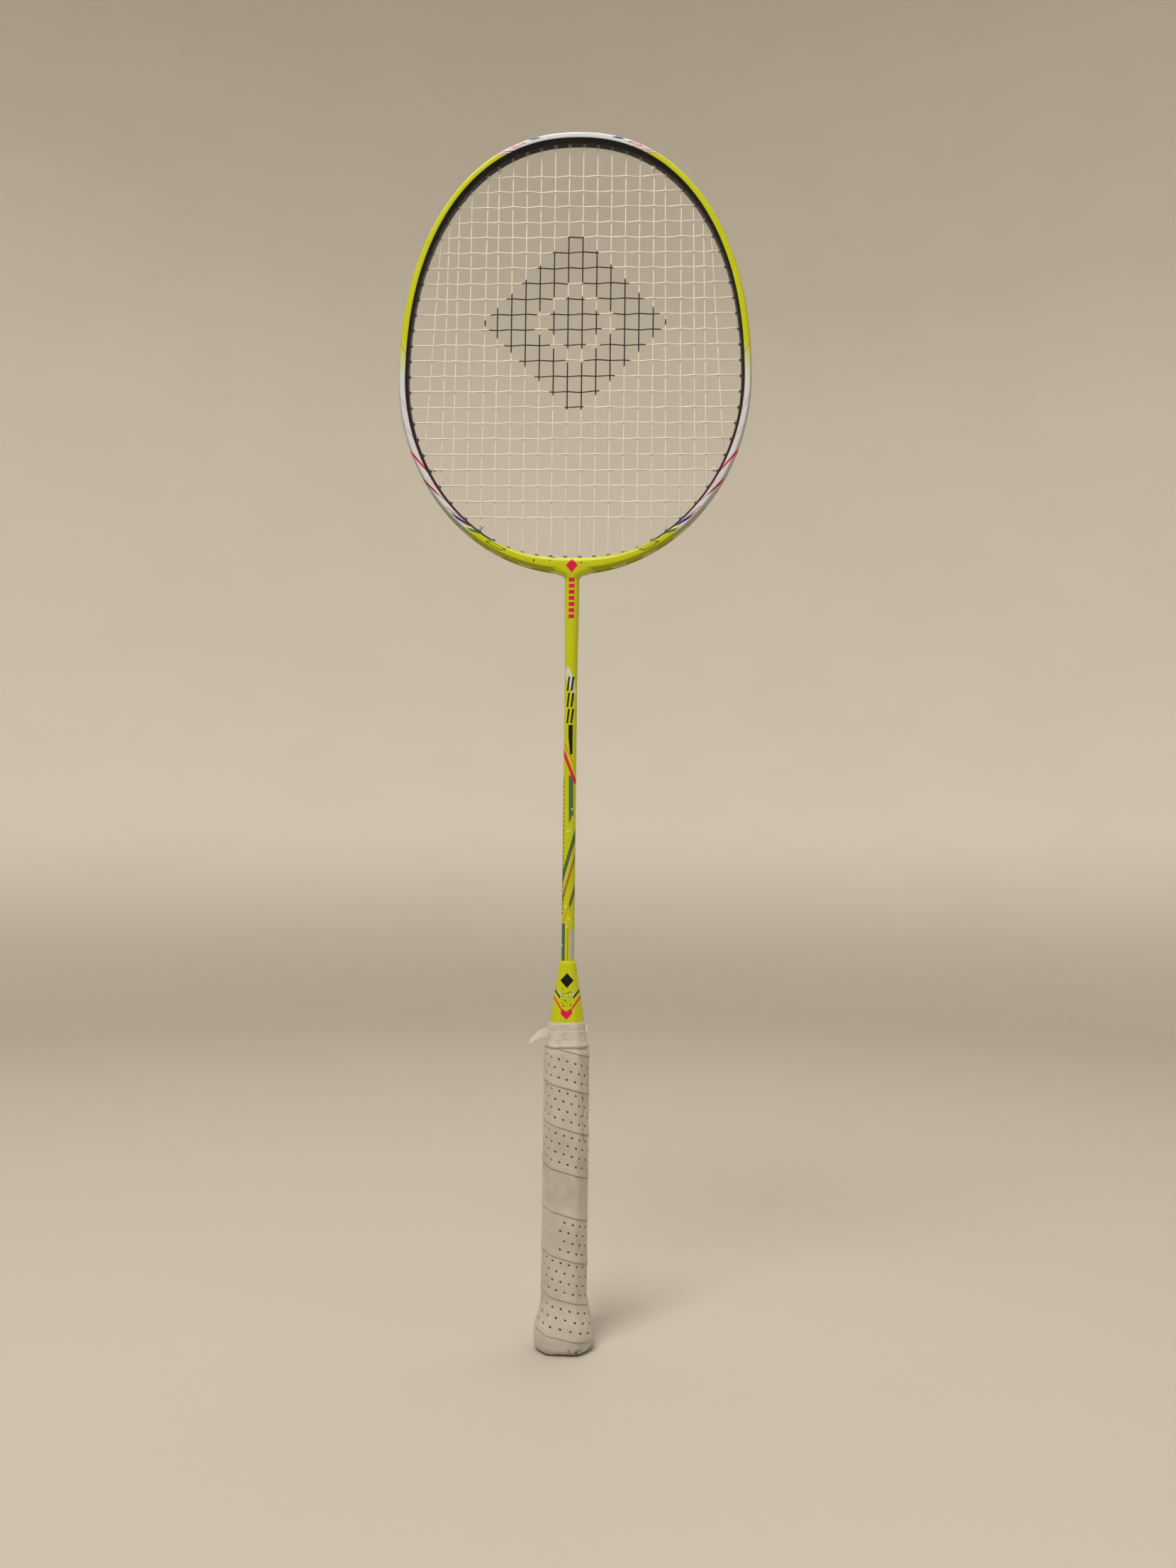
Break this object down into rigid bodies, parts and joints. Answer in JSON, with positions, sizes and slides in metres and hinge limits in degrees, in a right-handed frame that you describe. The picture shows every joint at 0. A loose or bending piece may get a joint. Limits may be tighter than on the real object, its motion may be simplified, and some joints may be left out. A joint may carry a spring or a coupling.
{
  "type": "badminton racket",
  "caption": "Strung badminton racket: isometric oval head, one-piece shaft, cone, octagonal handle with a perforated wrap.",
  "frame": {"origin": "centre of the flat butt face, on the racket's own axis", "axes": "+Z along the shaft from butt to head, XZ is the plane of the string bed, +Y and -Y are the two string faces"},
  "size_m": [0.2, 0.031, 0.675],
  "materials": {
    "frame_paint": "clear-coated lime, white and near-black paint over carbon fibre",
    "shaft_paint": "clear-coated lime paint over carbon fibre",
    "cone_plastic": "moulded, lime, lightly scuffed",
    "joint_metal": "as machined",
    "handle_wood": "bare, sanded",
    "cap_plastic": "moulded, black",
    "grip_foam": "soft perforated polyurethane wrap, cream, slightly soiled",
    "tape": "vinyl finishing tape, cream",
    "film": "thin clear wrinkled film",
    "grommet": "translucent nylon",
    "string": "coated nylon multifilament, cream white, with ink on the middle"
  },
  "bodies": {
    "root": {"head_frame": "frame_paint", "t_joint": "joint_metal", "shaft": "shaft_paint", "cone": "cone_plastic", "handle_core": "handle_wood", "butt_cap": "cap_plastic", "grip_wrap": "grip_foam", "finishing_tape": "tape", "clear_film": "film", "grommet_strip_top": "grommet", "grommet_strip_upper_left": "grommet", "grommet_strip_side_upper_left": "grommet", "grommet_strip_side_lower_left": "grommet", "grommet_strip_lower_left": "grommet", "grommet_strip_throat_left": "grommet", "grommet_strip_upper_right": "grommet", "grommet_strip_side_upper_right": "grommet", "grommet_strip_side_lower_right": "grommet", "grommet_strip_lower_right": "grommet", "grommet_strip_throat_right": "grommet", "main_string": "string", "cross_string": "string"}
  },
  "joints": []
}
